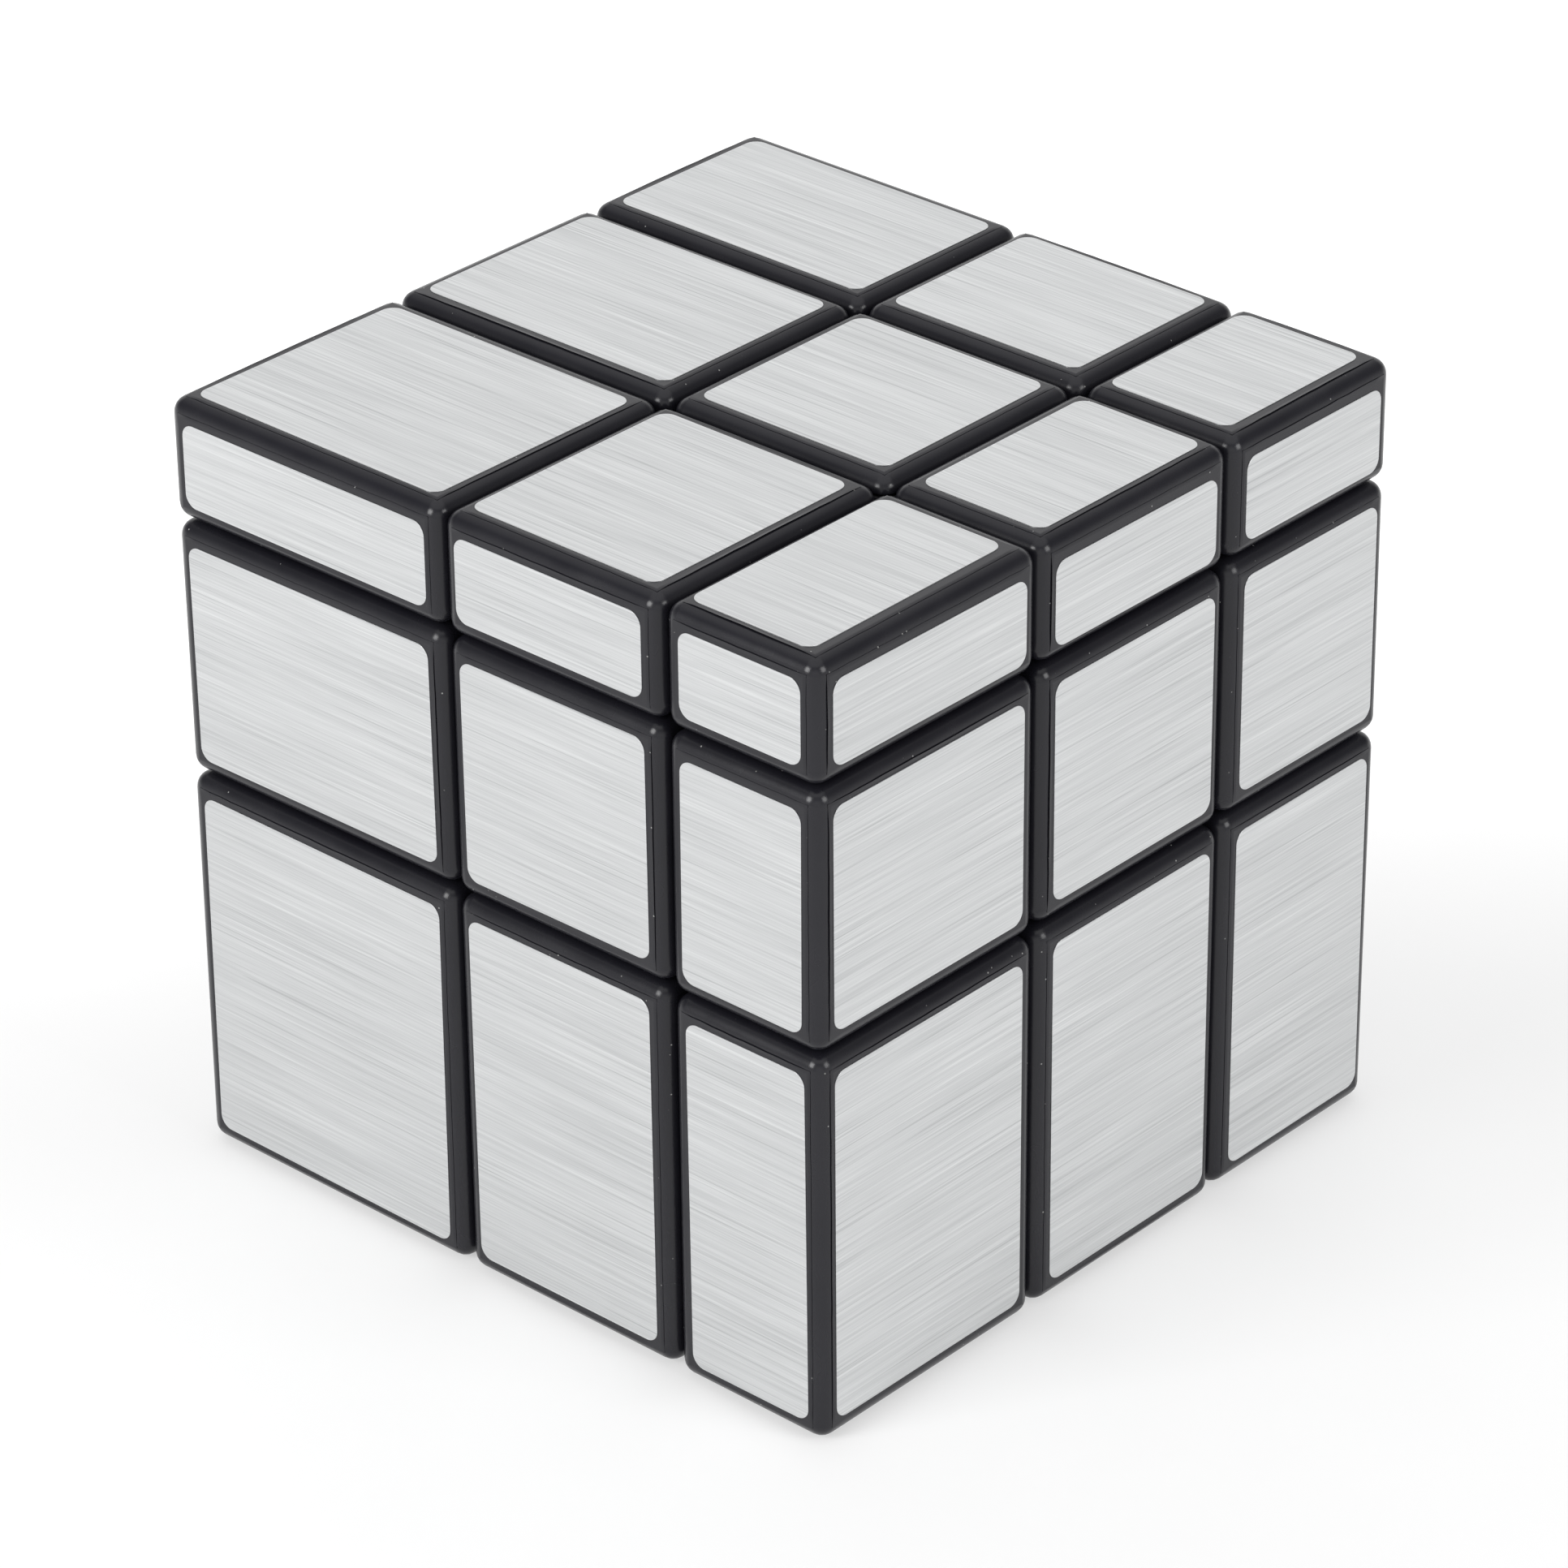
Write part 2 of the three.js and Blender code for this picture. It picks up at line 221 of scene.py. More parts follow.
FOILS_OFF_PLACE = {  # along and across the brushing, of the foils that are furthest out
    ("corner_front_right_top", "right"): (0, -0.3 * MM),
    ("edge_right_top", "right"): (0, -0.35 * MM),
    ("corner_back_right_top", "right"): (0, -0.25 * MM),
    ("corner_front_right_top", "top"): (-0.3 * MM, 0),
    ("corner_back_right_top", "top"): (-0.25 * MM, 0),
    ("edge_front_top", "top"): (-0.15 * MM, 0.05 * MM),
}
FOIL_TURN = 0.3  # degrees
LOOSE_SINK = 0.08 * MM  # each cubie sits a little inwards of its place,
LOOSE_SHIFT = 0.045 * MM  # and strays by this much
LOOSE_TILT = 0.12  # and this many degrees
PLACING_SEED = 11
BRUSH_MAP = "brush"
BRUSH_SPREAD = 900  # mm of brushing from which each foil takes its own place
SMOOTH_ANGLE = math.radians(32)
WELD_DISTANCE = 0.001 * MM
ON_AXIS = 1e-9  # a radius below this is a point on the axis

# ---- The materials ----

NOISE_SPAN = (0.3, 0.7)  # between which most of a noise pattern's values lie

# The foil's patterns, as waves for each mm along and across the brushing, and through the foil.
BAND_WAVES = (0.03, 0.45, 1)
STREAK_WAVES = (0.06, 2.6, 1)
LINE_WAVES = (0.05, 5.0, 1)
LINE_ROUGHNESS = 0.8
SCRATCH_WAVES = (0.05, 7.0, 7)
DARK_SCRATCHES = (0.64, 0.74)  # where in their noise they start and are full
# Bright scratches are painted glints: scratches lightened in colour as if they caught the light.
BRIGHT_SCRATCH_GLINTS = (0.36, 0.27)

# How much each pattern weighs in the foil's tone. The tone is partly the foil's own brushing and
# partly painted sheen and glints, standing in for light off its grooves.
BAND_WEIGHT = 0.13
STREAK_WEIGHT = 0.22
LINE_WEIGHT = 0.65
DARK_SCRATCH_WEIGHT = -0.26
BRIGHT_SCRATCH_GLINT_WEIGHT = 0.12

# The foil's colour runs between these with its tone, so it carries painted sheen as well as the
# brushing.
FOIL_COLOURS = ((0.530, 0.540, 0.545), (0.790, 0.800, 0.803))
FOIL_ROUGHNESS = (0.43, 0.35)
FOIL_ANISOTROPY = 0.5
FOIL_RELIEF = (0.3, 0.02 * MM)  # strength and depth

# The plastics' and steels' patterns, as waves for each metre along x, y and z.
BLACK_GRAIN = (5200, 5200, 5200)
BLACK_CLOUD = (260, 260, 260)
BLACK_COLOURS = ((0.0085, 0.0083, 0.0118), (0.0128, 0.0125, 0.0166))
BLACK_ROUGHNESS = (0.22, 0.29)
BLACK_RELIEF = (0.1, 0.02 * MM)
BLACK_IOR = 1.42
SPECK_CELLS = 1300.0  # cells for each metre, some of which hold a speck of dust
SPECK_EDGE = (0.085, 0.05)  # from outside a speck to inside it, as shares of a cell
SPECK_CHOICE = (0.74, 0.88)  # cells below this are clean, and above it dusty
SPECK_COLOUR = (0.30, 0.30, 0.29)

CORE_GRAIN = (3500, 3500, 3500)
CORE_CLOUD = (180, 180, 180)
CORE_COLOURS = ((0.56, 0.55, 0.51), (0.66, 0.65, 0.61))
CORE_ROUGHNESS = (0.44, 0.54)
CORE_RELIEF = (0.15, 0.02 * MM)
CORE_IOR = 1.5

SCREW_MARKS = (900, 900, 4000)
SCREW_COLOURS = ((0.42, 0.42, 0.43), (0.6, 0.6, 0.6))
SPRING_MARKS = (2500, 2500, 700)
SPRING_COLOURS = ((0.3, 0.3, 0.31), (0.45, 0.45, 0.46))
STEEL_ROUGHNESS = (0.2, 0.34)
STEEL_RELIEF = (0.1, 0.01 * MM)

CORE = Vector(frame["joints"][0]["pos_m"])
UP = Vector((0, 0, 1))


def axis_of(direction):
    """0, 1 or 2 for a direction along x, y or z."""
    return max(range(3), key=lambda axis: abs(direction[axis]))


def read_faces():
    """Each face's outward direction, and how far its outer side is from the core's centre."""
    faces = {}
    for joint in frame["joints"]:
        if joint["parent"] == "core":
            name = joint["child"].removeprefix("centre_")
            towards = Vector([round(part) for part in joint["axis"]])
            axis = axis_of(towards)
            limit = CAD_BOX[1][axis] if towards[axis] > 0 else CAD_BOX[0][axis]
            faces[name] = (towards, abs(limit - CORE[axis]))
    return faces


FACES = read_faces()

# ---- Mesh helpers ----


def new_object(name, mesh):
    piece = bpy.data.objects.new(name, mesh)
    bpy.context.scene.collection.objects.link(piece)
    return piece


def from_bmesh(name, bm):
    bmesh.ops.recalc_face_normals(bm, faces=bm.faces)
    mesh = bpy.data.meshes.new(name)
    bm.to_mesh(mesh)
    bm.free()
    return new_object(name, mesh)


def skin_rings(bm, rings):
    """Joins each ring of vertices to the next one. A ring of one vertex is a pole."""
    for lower, upper in zip(rings, rings[1:]):
        count = max(len(lower), len(upper))
        for step in range(count):
            after = (step + 1) % count
            corners = [lower[step % len(lower)], lower[after % len(lower)]]
            corners += [upper[after % len(upper)], upper[step % len(upper)]]
            bm.faces.new(list(dict.fromkeys(corners)))


def rounded_box(name, low, high, radius):
    bm = bmesh.new()
    bmesh.ops.create_cube(bm, size=1)
    for vert in bm.verts:
        vert.co = Vector([low[i] if vert.co[i] < 0 else high[i] for i in range(3)])
    if radius > 0:
        bmesh.ops.bevel(
            bm,
            geom=bm.edges[:],
            offset=radius,
            segments=ROUND_STEPS,
            profile=0.5,
            affect="EDGES",
        )
    return from_bmesh(name, bm)


def ring_at(bm, radius, height, segments):
    if radius < ON_AXIS:
        return [bm.verts.new((0, 0, height))]
    ring = []
    for step in range(segments):
        angle = 2 * math.pi * step / segments
        place = (radius * math.cos(angle), radius * math.sin(angle), height)
        ring.append(bm.verts.new(place))
    return ring


def revolved(name, profile, segments, towards=UP, closed=False):
    """A body of revolution. The profile is (radius, height) pairs from axis to axis, or a ring."""
    bm = bmesh.new()
    rings = [ring_at(bm, radius, height, segments) for radius, height in profile]
    skin_rings(bm, rings + rings[:1] if closed else rings)
    turn = towards.to_track_quat("Z", "Y").to_matrix()
    bmesh.ops.transform(bm, matrix=turn.to_4x4(), verts=bm.verts)
    return from_bmesh(name, bm)


def arc(centre, radius, start, end, steps):
    """Points on an arc in a (radius, height) profile, with angles in degrees from outwards."""
    points = []
    for step in range(steps + 1):
        angle = math.radians(start + (end - start) * step / steps)
        across = centre[0] + radius * math.cos(angle)
        up = centre[1] + radius * math.sin(angle)
        points.append((across, up))
    return points


def with_modifiers_applied(piece):
    graph = bpy.context.evaluated_depsgraph_get()
    mesh = bpy.data.meshes.new_from_object(piece.evaluated_get(graph), depsgraph=graph)
    piece.modifiers.clear()
    piece.data = mesh
    return piece


def weld(piece):
    """Merges the points that carving leaves all but on top of each other."""
    bm = bmesh.new()
    bm.from_mesh(piece.data)
    bmesh.ops.remove_doubles(bm, verts=bm.verts, dist=WELD_DISTANCE)
    bm.to_mesh(piece.data)
    bm.free()


def carve(piece, steps):
    """Joins, cuts or intersects a piece with others, in order."""
    for operation, other in steps:
        modifier = piece.modifiers.new("carve", "BOOLEAN")
        modifier.solver = "MANIFOLD"
        modifier.operation = operation
        modifier.object = other
    return with_modifiers_applied(piece)


def carve_away(piece, operation, *others):
    """Carves a piece with others that are then thrown away."""
    carve(piece, [(operation, other) for other in others])
    for other in others:
        bpy.data.objects.remove(other)
    return piece


# ---- The cuts between layers ----


def layer_space(towards, shift):
    """All the space on the outer side of one layer's cut, moved outwards by shift."""
    profile = [
        (0, CUT_FLOOR + shift),
        (CUT_THROAT - shift, CUT_FLOOR + shift),
        (CUT_RIM - shift, CUT_PLANE + shift),
        (FAR, CUT_PLANE + shift),
        (FAR, FAR),
        (0, FAR),
    ]
    return revolved("layer_space", profile, CUT_SEGMENTS, towards)


IN_LAYER = {}
BESIDE_LAYER = {}
for face_name, (face_towards, _) in FACES.items():
    IN_LAYER[face_name] = layer_space(face_towards, HALF_GAP)
    BESIDE_LAYER[face_name] = layer_space(face_towards, -HALF_GAP)


def sphere_profile(radius, steps):
    points = arc((0, 0), radius, -90, 90, steps)
    return [(0, -radius)] + points[1:-1] + [(0, radius)]


HEART = revolved("heart", sphere_profile(HEART_RADIUS, HEART_STEPS), CUT_SEGMENTS)


def opposite(name):
    towards, _ = FACES[name]
    return next(other for other in FACES if FACES[other][0] == -towards)


def slot_steps(layers):
    """The steps that keep what lies in these layers and beside all the others."""
    steps = []
    for name in FACES:
        if name in layers:
            steps.append(("INTERSECT", IN_LAYER[name]))
        elif opposite(name) not in layers:
            steps.append(("DIFFERENCE", BESIDE_LAYER[name]))
    return steps


# ---- Core, screws, washers and springs ----


def build_core():
    core = revolved("core_visual", sphere_profile(HUB_RADIUS, HUB_STEPS), TURNED_SEGMENTS)
    root = ARM_RADIUS + ARM_FILLET
    flare = HUB_RADIUS - ARM_FILLET_DEPTH
    arm_profile = [(0, 0), (root, 0), (root, flare)]
    arm_profile += arc(
        (root, flare + ARM_FILLET),
        ARM_FILLET,
        180 + ARM_FILLET_ANGLE,
        180,
        FILLET_STEPS,
    )
    arm_profile += arc((ARM_RADIUS - LIP, ARM_END - LIP), LIP, 0, 90, LIP_STEPS)
    arm_profile += [(0, ARM_END)]
    hole_profile = [
        (0, SCREW_HOLE_FLOOR),
        (SCREW_HOLE_RADIUS, SCREW_HOLE_FLOOR),
        (SCREW_HOLE_RADIUS, ARM_END - LIP),
        (SCREW_HOLE_RADIUS + LIP, ARM_END),
        (SCREW_HOLE_RADIUS + LIP, FAR),
        (0, FAR),
    ]
    arms = []
    holes = []
    for towards, _ in FACES.values():
        arms.append(revolved("arm", arm_profile, TURNED_SEGMENTS, towards))
    for towards, _ in FACES.values():
        holes.append(revolved("hole", hole_profile, HOLE_SEGMENTS, towards))
    carve_away(core, "UNION", *arms)
    return carve_away(core, "DIFFERENCE", *holes)


def screw_profile():
    """The screw's (radius, height) points from tip to head, without its thread."""
    head_top = SCREW_HEAD_START + SCREW_HEAD_HEIGHT
    points = [(0, SCREW_TIP), (SCREW_TIP_FLAT * SCREW_RADIUS, SCREW_TIP)]
    shank_start = SCREW_TIP + SCREW_TIP_LENGTH
    for step in range(SHANK_STEPS + 1):
        height = shank_start + (SCREW_HEAD_START - shank_start) * step / SHANK_STEPS
        points.append((SCREW_RADIUS, height))
    rim_centre = (SCREW_HEAD_RADIUS - SCREW_HEAD_RIM, SCREW_HEAD_START + SCREW_HEAD_RIM)
    points.append((rim_centre[0], SCREW_HEAD_START))
    points += arc(rim_centre, SCREW_HEAD_RIM, -45, 0, 2)
    for across, up in arc((0, 0), 1, *SCREW_DOME_ANGLES, DOME_STEPS):
        points.append((SCREW_HEAD_RADIUS * across, head_top - SCREW_DOME + SCREW_DOME * up))
    points.append((0, head_top))
    return points


def thread_depth(angle, height):
    """How far the thread's groove cuts in at a point of the shank."""
    turn = (height / THREAD_PITCH - angle / (2 * math.pi)) % 1
    groove = max(0, 1 - abs(turn - 0.5) / THREAD_HALF_WIDTH)
    fade = min(1, max(0, (THREAD_END - height) / THREAD_RUN_OUT))
    return THREAD_DEPTH * groove * fade


def build_screw(name):
    bm = bmesh.new()
    rings = []
    for radius, height in screw_profile():
        if radius == 0:
            rings.append([bm.verts.new((0, 0, height))])
            continue
        ring = []
        for step in range(SCREW_SEGMENTS):
            angle = 2 * math.pi * step / SCREW_SEGMENTS
            reach = radius
            if radius == SCREW_RADIUS:
                reach -= thread_depth(angle, height)
            place = (reach * math.cos(angle), reach * math.sin(angle), height)
            ring.append(bm.verts.new(place))
        rings.append(ring)
    skin_rings(bm, rings)
    screw = from_bmesh(name, bm)
    head_top = SCREW_HEAD_START + SCREW_HEAD_HEIGHT
    recesses = [cross_blade(head_top, turn) for turn in (0, math.pi / 2)]
    return carve_away(screw, "DIFFERENCE", *recesses)


def cross_blade(top, turn):
    """One of the two tapered blades that cut the screw's cross recess."""
    mouth_long = 1.6 * MM
    mouth_wide = 0.36 * MM
    floor_long = 0.75 * MM
    floor_wide = 0.26 * MM
    depth = 0.95 * MM
    above = 0.2 * MM
    bm = bmesh.new()
    layers = []
    for long, wide, height in (
        (floor_long, floor_wide, top - depth),
        (mouth_long, mouth_wide, top),
        (mouth_long, mouth_wide, top + above),
    ):
        corners = ((long, wide), (-long, wide), (-long, -wide), (long, -wide))
        layers.append([bm.verts.new((x, y, height)) for x, y in corners])
    skin_rings(bm, layers)
    bm.faces.new(layers[0])
    bm.faces.new(layers[-1])
    bmesh.ops.rotate(bm, matrix=Matrix.Rotation(turn, 3, "Z"), verts=bm.verts)
    return from_bmesh("cross_blade", bm)


def build_washer(name):
    inner = SCREW_RADIUS + SEAT_GAP
    top = WASHER_START + WASHER_THICKNESS
    edge = WASHER_EDGE
    profile = arc((WASHER_RADIUS - edge, WASHER_START + edge), edge, -90, 0, LIP_STEPS)
    profile += arc((WASHER_RADIUS - edge, top - edge), edge, 0, 90, LIP_STEPS)
    profile += [(inner + edge, top), (inner, top - edge), (inner, WASHER_START + edge)]
    profile += [(inner + edge, WASHER_START)]
    return revolved(name, profile, TURNED_SEGMENTS, closed=True)


def build_spring(name):
    """A compression spring whose end coils lie closer together than its middle ones."""
    steps = SPRING_TURNS * SPRING_STEPS_PER_TURN
    rise = SPRING_HEIGHT - 2 * SPRING_WIRE
    bm = bmesh.new()
    rings = []
    for step in range(steps + 1):
        along = step / steps
        angle = along * SPRING_TURNS * 2 * math.pi
        share = along - SPRING_CLOSING * math.sin(2 * math.pi * along) / (2 * math.pi)
        height = SPRING_START + SPRING_WIRE + rise * share
        outwards = Vector((math.cos(angle), math.sin(angle), 0))
        middle = outwards * SPRING_RADIUS + UP * height
        ring = []
        for side in range(SPRING_SIDES):
            around = 2 * math.pi * side / SPRING_SIDES
            offset = outwards * math.cos(around) + UP * math.sin(around)
            ring.append(bm.verts.new(middle + offset * SPRING_WIRE))
        rings.append(ring)
    skin_rings(bm, rings)
    bm.faces.new(rings[0])
    bm.faces.new(rings[-1])
    return from_bmesh(name, bm)


# ---- Cubies ----


def block_bounds(layers, near):
    """The corners of a cubie's block, which runs outwards from near in each of its layers."""
    low = Vector((-BLOCK_HALF,) * 3)
    high = Vector((BLOCK_HALF,) * 3)
    for name in layers:
        towards, reach = FACES[name]
        axis = axis_of(towards)
        low[axis], high[axis] = sorted((near * towards[axis], (reach - SKIN) * towards[axis]))
    return low, high


def span(layers, half, near, far):
    """A box's corners: from near to far in each of the layers, and within half beside them."""
    low = Vector((-half,) * 3)
    high = Vector((half,) * 3)
    for name in layers:
        towards, reach = FACES[name]
        axis = axis_of(towards)
        outer = reach + far if far < 0 else far
        low[axis], high[axis] = sorted((near * towards[axis], outer * towards[axis]))
    return low, high


def build_centre(name, layer):
    towards, _ = FACES[layer]
    low, high = span([layer], BLOCK_HALF, STEM_START, FLANGE_TOP)
    centre = rounded_box(name, low, high, INNER_ROUND)
    carve(centre, slot_steps([layer]))
    well = [
        (0, WELL_START),
        (WELL_RADIUS, WELL_START),
        (WELL_RADIUS, FLANGE_TOP - LIP),
        (WELL_RADIUS + LIP, FLANGE_TOP),
        (WELL_RADIUS + LIP, FAR),
        (0, FAR),
    ]
    passage_radius = SCREW_RADIUS + SEAT_GAP
    passage = [(0, 0), (passage_radius, 0), (passage_radius, FAR), (0, FAR)]
    return carve_away(
        centre,
        "DIFFERENCE",
        revolved("well", well, TURNED_SEGMENTS, towards),
        revolved("passage", passage, SCREW_SEGMENTS, towards),
    )


def build_cap(name, layer):
    """The block that closes a centre. Behind a thick layer it is hollow, open towards the core."""
    towards, reach = FACES[layer]
    cap = rounded_box(name, *block_bounds([layer], BLOCK_START), EDGE_ROUND)
    centre_space = rounded_box("centre_space", *span([layer], FAR, 0, CAP_START), 0)
    carve_away(cap, "DIFFERENCE", centre_space)
    ceiling = reach - CAP_WALL
    if ceiling - CAP_START > CAP_WALL:
        low, high = span([layer], BLOCK_HALF - CAP_WALL, 0, -CAP_WALL)
        carve_away(cap, "DIFFERENCE", rounded_box("hollow", low, high, INNER_ROUND))
    collar_top = max(ceiling, CAP_START) + CAP_WALL / 2
    collar = [
        (COLLAR_INNER + COLLAR_LIP, COLLAR_START),
        (COLLAR_OUTER - COLLAR_LIP, COLLAR_START),
        (COLLAR_OUTER, COLLAR_START + COLLAR_LIP),
        (COLLAR_OUTER, collar_top),
        (COLLAR_INNER, collar_top),
        (COLLAR_INNER, COLLAR_START + COLLAR_LIP),
    ]
    ring = revolved("collar", collar, TURNED_SEGMENTS, towards, closed=True)
    return carve_away(cap, "UNION", ring)


def build_edge(name, layers):
    """A hollow block with its foot. A port through the foot opens the hollow to the core."""
    edge = rounded_box(name, *block_bounds(layers, BLOCK_START), EDGE_ROUND)
    foot = rounded_box("foot", *span(layers, BLOCK_HALF, 0, EDGE_FOOT_REACH), INNER_ROUND)
    carve_away(edge, "UNION", foot)
    carve(edge, slot_steps(layers) + [("DIFFERENCE", HEART)])
    low, high = span(layers, BLOCK_HALF - EDGE_WALL, EDGE_HOLLOW_START, -EDGE_WALL)
    hollow = rounded_box("hollow", low, high, INNER_ROUND)
    port_end = (EDGE_HOLLOW_START + EDGE_PORT_OVERRUN) * math.sqrt(2)
    far_corner = Vector((EDGE_PORT_HEIGHT / 2, EDGE_PORT_WIDTH / 2, port_end))
    port = rounded_box("port", Vector((-far_corner.x, -far_corner.y, 0)), far_corner, 0)
    outwards = (FACES[layers[0]][0] + FACES[layers[1]][0]).normalized()
    beside = FACES[layers[0]][0].cross(FACES[layers[1]][0])
    turn = Matrix((beside.cross(outwards), beside, outwards)).transposed()
    port.data.transform(turn.to_4x4())
    return carve_away(edge, "DIFFERENCE", hollow, port)


def build_corner_shell(name, layers):
    shell = rounded_box(name, *block_bounds(layers, BLOCK_START), EDGE_ROUND)
    low, high = span(layers, 0, BLOCK_START + CORNER_WALL, -CORNER_WALL)
    hollow = rounded_box("hollow", low, high, INNER_ROUND)
    notch = rounded_box("notch", *span(layers, 0, 0, STALK_REACH + SEAT_GAP), 0)
    return carve_away(shell, "DIFFERENCE", hollow, notch)


def build_corner_foot(name, layers):
    foot = rounded_box(name, *span(layers, 0, 0, STALK_REACH), INNER_ROUND)
    return carve(foot, slot_steps(layers) + [("DIFFERENCE", HEART)])


# ---- Stickers ----


def sticker_axes(layer):
    """The directions along the brushing, across it and outwards, for one face of the cube."""
    towards, _ = FACES[layer]
    along = Vector((0, 1, 0)) if axis_of(towards) == 0 else Vector((1, 0, 0))
    return along, towards.cross(along), towards


def stacked_plate(name, rings, axes):
    """A plate from rings of (along, across, height) points, bottom first."""
    along, across, outwards = axes
    bm = bmesh.new()
    loops = []
    for ring in rings:
        loops.append([bm.verts.new(along * u + across * v + outwards * w) for u, v, w in ring])
    skin_rings(bm, loops)
    bm.faces.new(loops[0])
    bm.faces.new(loops[-1])
    return from_bmesh(name, bm)


def film_outline(span_u, span_v, inset, strays):
    """A rectangle at this inset whose sides stray a little, as (u, v, side, share) points."""
    corners = [
        (span_u[0] + inset, span_v[0] + inset),
        (span_u[1] - inset, span_v[0] + inset),
        (span_u[1] - inset, span_v[1] - inset),
        (span_u[0] + inset, span_v[1] - inset),
    ]
    outline = []
    for side, (corner, following) in enumerate(zip(corners, corners[1:] + corners[:1])):
        length = math.dist(corner, following)
        out_u = (following[1] - corner[1]) / length
        out_v = (corner[0] - following[0]) / length
        for step, stray in enumerate(strays[side]):
            share = step / len(strays[side])
            outline.append((
                corner[0] + (following[0] - corner[0]) * share + out_u * stray,
                corner[1] + (following[1] - corner[1]) * share + out_v * stray,
                side,
                share,
            ))
    return outline


def rounding_drop(u, v, span_u, span_v):
    """How far the block's rounded surface lies below its flat outer side at a point."""
    near_u = min(u - span_u[0], span_u[1] - u)
    near_v = min(v - span_v[0], span_v[1] - v)
    past_u = max(0, EDGE_ROUND - near_u)
    past_v = max(0, EDGE_ROUND - near_v)
    return EDGE_ROUND - math.sqrt(max(0, EDGE_ROUND ** 2 - past_u ** 2 - past_v ** 2))


def build_film(name, span_u, span_v, axes, base, draw):
    """A black film that follows the block's rounding, apart from the sides that came loose."""
    strays = []
    looseness = []
    for start, end in (span_u, span_v, span_u, span_v):
        count = round((end - start) / FILM_STEP)
        strays.append([draw.uniform(-FILM_RAGGED, FILM_RAGGED) for _ in range(count)])
        looseness.append(draw.uniform(*FILM_LOOSENESS) if draw.random() < FILM_LIFTED else 0)
    top = []
    bottom = []
    for step in range(FILM_BEND_STEPS + 1):
        kept = 1 - step / FILM_BEND_STEPS  # 1 on the cut edge, and 0 where the block is flat
        inset = EDGE_ROUND + (FILM_INSET - EDGE_ROUND) * kept
        scaled = [[stray * kept for stray in side] for side in strays]
        pressing = (FILM_THICKNESS - FILM_PRESSED) * kept
        upper = []
        for u, v, side, share in film_outline(span_u, span_v, inset, scaled):
            loose = looseness[side] * math.sin(math.pi * share) ** 0.5
            underside = base + film_height(u, v, span_u, span_v, loose, kept)
            upper.append((u, v, underside + FILM_THICKNESS - pressing * (1 - loose)))
        lower = []
        inset += FILM_UNDERCUT * kept
        for u, v, side, share in film_outline(span_u, span_v, inset, scaled):
            loose = looseness[side] * math.sin(math.pi * share) ** 0.5
            lower.append((u, v, base + film_height(u, v, span_u, span_v, loose, kept)))
        top.append(upper)
        bottom.append(lower)
    return stacked_plate(name, bottom[::-1] + top, axes)


def film_height(u, v, span_u, span_v, loose, kept):
    """The height of the film's underside at a point, from the block's flat outer side."""
    return FILM_RISE * loose * kept - rounding_drop(u, v, span_u, span_v) * (1 - loose)


def rounded_rectangle(span_u, span_v, radius):
    outline = []
    for side_u, side_v, start in ((1, 1, 0), (0, 1, 90), (0, 0, 180), (1, 0, 270)):
        centre = (
            span_u[side_u] + (radius if side_u == 0 else -radius),
            span_v[side_v] + (radius if side_v == 0 else -radius),
        )
        outline += arc(centre, radius, start, start + 90, FOIL_CORNER_STEPS)
    return outline


def build_foil(name, span_u, span_v, axes, base, off_place, draw):
    """A silver foil with rounded corners, shifted and turned a little from its exact place."""
    turn = math.radians(draw.uniform(-FOIL_TURN, FOIL_TURN))
    shift_u = draw.uniform(-FOIL_SHIFT, FOIL_SHIFT) + off_place[0]
    shift_v = draw.uniform(-FOIL_SHIFT, FOIL_SHIFT) + off_place[1]
    middle_u = sum(span_u) / 2
    middle_v = sum(span_v) / 2
    top = base + FOIL_THICKNESS
    rings = []
    for inset, height in ((0, base), (0, top - FOIL_EDGE), (FOIL_EDGE, top)):
        inset += FOIL_INSET
        ring = []
        for u, v in rounded_rectangle(
            (span_u[0] + inset, span_u[1] - inset),
            (span_v[0] + inset, span_v[1] - inset),
            FOIL_CORNER + FOIL_INSET - inset,
        ):
            du = u - middle_u
            dv = v - middle_v
            ring.append((
                middle_u + shift_u + du * math.cos(turn) - dv * math.sin(turn),
                middle_v + shift_v + du * math.sin(turn) + dv * math.cos(turn),
                height,
            ))
        rings.append(ring)
    foil = stacked_plate(name, rings, axes)
    add_brush_map(foil, axes, draw)
    return foil


def add_brush_map(foil, axes, draw):
    """A map in millimetres, along and across the brushing, that differs from foil to foil."""
    along, across, _ = axes
    offset_u = draw.uniform(0, BRUSH_SPREAD)
    offset_v = draw.uniform(0, BRUSH_SPREAD)
    mesh = foil.data
    layer = mesh.uv_layers.new(name=BRUSH_MAP)
    for loop in mesh.loops:
        place = mesh.vertices[loop.vertex_index].co
        u = place.dot(along) / MM + offset_u
        v = place.dot(across) / MM + offset_v
        layer.data[loop.index].uv = (u, v)


def build_sticker(cubie, layer, low, high, draw):
    """The black film and the silver foil on one outer side of a cubie."""
    axes = sticker_axes(layer)
    along, across, _ = axes
    _, reach = FACES[layer]
    base = reach - SKIN
    span_u = tuple(sorted((low.dot(along), high.dot(along))))
    span_v = tuple(sorted((low.dot(across), high.dot(across))))
    film = build_film(f"film_{cubie}_{layer}", span_u, span_v, axes, base, draw)
    foil_base = base + FILM_THICKNESS
    off_place = FOILS_OFF_PLACE.get((cubie, layer), (0, 0))
    foil = build_foil(f"foil_{cubie}_{layer}", span_u, span_v, axes, foil_base, off_place, draw)
    return film, foil


# ---- Materials ----


def new_material(name):
    material = bpy.data.materials.new(name)
    material.use_nodes = True
    return material, material.node_tree, material.node_tree.nodes["Principled BSDF"]


